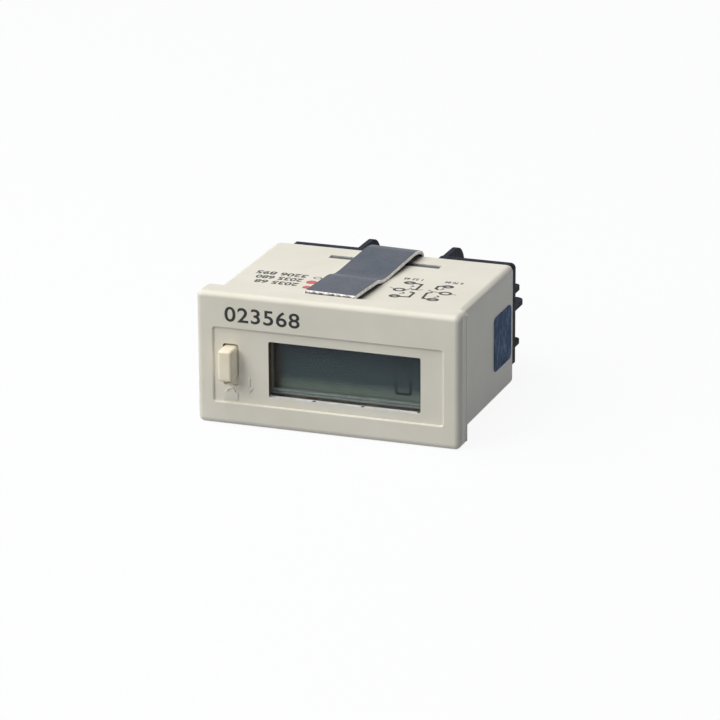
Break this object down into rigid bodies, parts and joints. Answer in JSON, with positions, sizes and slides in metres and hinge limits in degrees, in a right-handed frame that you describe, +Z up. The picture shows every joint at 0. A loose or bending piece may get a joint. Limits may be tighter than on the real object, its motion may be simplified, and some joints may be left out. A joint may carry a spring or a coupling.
{
  "type": "panel-mount totalizing counter",
  "caption": "Panel-mount totalizing counter: moulded case with a display window, a sliding reset button, a steel mounting clip and screw terminals at the back.",
  "frame": {"origin": "middle of the outer box, at the bottom edge of the bezel", "axes": "+Z up, -Y out of the front of the bezel, +Y into the panel, +X to the right as seen from the front"},
  "size_m": [0.048, 0.0518, 0.0246],
  "materials": {
    "case_cream": "fine moulded texture",
    "button_cream": "smooth moulded",
    "lens_clear": "clear polished acrylic",
    "lcd_glass": "polarised glass",
    "reflector": "satin foil",
    "frame_grey": "moulded",
    "circuit_board": "solder resist on glass fibre",
    "black_plastic": "moulded, slightly glossy",
    "capacitor_sleeve": "shrunk sleeve",
    "nickel_plate": "nickel plated",
    "contact_brass": "plain stamped",
    "contact_rubber": "matt",
    "clip_steel": "rolled strip with bright cut edges",
    "label_foil": "dark foil"
  },
  "bodies": {
    "case": {"case_shell": "case_cream", "display_lens": "lens_clear", "lcd_front_glass": "lcd_glass", "lcd_rear_glass": "lcd_glass", "lcd_reflector": "reflector", "zebra_strip_top": "contact_rubber", "zebra_strip_bottom": "contact_rubber", "display_frame": "frame_grey", "display_board": "circuit_board", "main_board": "circuit_board", "driver_chip": "black_plastic", "crystal_can": "nickel_plate", "board_header": "black_plastic", "capacitor_front": "capacitor_sleeve", "capacitor_rear": "capacitor_sleeve", "battery_cell": "nickel_plate", "battery_tab_positive": "nickel_plate", "battery_tab_negative": "nickel_plate", "side_label": "label_foil", "terminal_block": "black_plastic", "terminal_contact_1": "contact_brass", "terminal_contact_2": "contact_brass", "terminal_contact_3": "contact_brass", "terminal_contact_4": "contact_brass"},
    "lock": {"lock_slider": "case_cream"},
    "reset": {"reset_button": "button_cream", "contact_pill": "contact_rubber", "reset_spring": "nickel_plate"},
    "clip": {"mounting_clip": "clip_steel"},
    "clamp_1": {"clamp_plate_1": "nickel_plate"},
    "clamp_2": {"clamp_plate_2": "nickel_plate"},
    "clamp_3": {"clamp_plate_3": "nickel_plate"},
    "clamp_4": {"clamp_plate_4": "nickel_plate"},
    "screw_1": {"terminal_screw_1": "nickel_plate"},
    "screw_2": {"terminal_screw_2": "nickel_plate"},
    "screw_3": {"terminal_screw_3": "nickel_plate"},
    "screw_4": {"terminal_screw_4": "nickel_plate"}
  },
  "joints": [
    {"name": "lock_slide", "type": "slide", "parent": "case", "child": "lock", "axis": [0, 0, 1], "range_m": [-0.0013, 0]},
    {"name": "reset_press", "type": "slide", "parent": "lock", "child": "reset", "axis": [0, 1, 0], "range_m": [0, 0.001], "stiffness_N_per_m": 300, "springref_m": -0.0005, "deforming": ["reset_spring"]},
    {"name": "clip_rock", "type": "hinge", "parent": "case", "child": "clip", "pos_m": [0.0005, 0.0059, 0.02245], "axis": [-0.9982, 0.0593, 0], "range_deg": [0, 2.5], "stiffness_Nm_per_rad": 0.3, "springref_deg": -1.15},
    {"name": "clamp_lift_1", "type": "slide", "parent": "case", "child": "clamp_1", "axis": [0, 1, 0], "range_m": [-0.0018, 0.0004]},
    {"name": "clamp_lift_2", "type": "slide", "parent": "case", "child": "clamp_2", "axis": [0, 1, 0], "range_m": [-0.0018, 0.0004]},
    {"name": "clamp_lift_3", "type": "slide", "parent": "case", "child": "clamp_3", "axis": [0, 1, 0], "range_m": [-0.0018, 0.0004]},
    {"name": "clamp_lift_4", "type": "slide", "parent": "case", "child": "clamp_4", "axis": [0, 1, 0], "range_m": [-0.0018, 0.0004]},
    {"name": "screw_turn_1", "type": "hinge", "parent": "clamp_1", "child": "screw_1", "pos_m": [0.015, 0.017, 0.01778], "axis": [0, 1, 0], "range_deg": [-1296, 288]},
    {"name": "screw_turn_2", "type": "hinge", "parent": "clamp_2", "child": "screw_2", "pos_m": [0.015, 0.017, 0.00778], "axis": [0, 1, 0], "range_deg": [-1296, 288]},
    {"name": "screw_turn_3", "type": "hinge", "parent": "clamp_3", "child": "screw_3", "pos_m": [-0.015, 0.017, 0.01778], "axis": [0, 1, 0], "range_deg": [-1296, 288]},
    {"name": "screw_turn_4", "type": "hinge", "parent": "clamp_4", "child": "screw_4", "pos_m": [-0.015, 0.017, 0.00778], "axis": [0, 1, 0], "range_deg": [-1296, 288]}
  ],
  "couplings": [
    {"joint": "screw_turn_1", "follows": "clamp_lift_1", "rad_per_m": 12566},
    {"joint": "screw_turn_2", "follows": "clamp_lift_2", "rad_per_m": 12566},
    {"joint": "screw_turn_3", "follows": "clamp_lift_3", "rad_per_m": 12566},
    {"joint": "screw_turn_4", "follows": "clamp_lift_4", "rad_per_m": 12566}
  ]
}
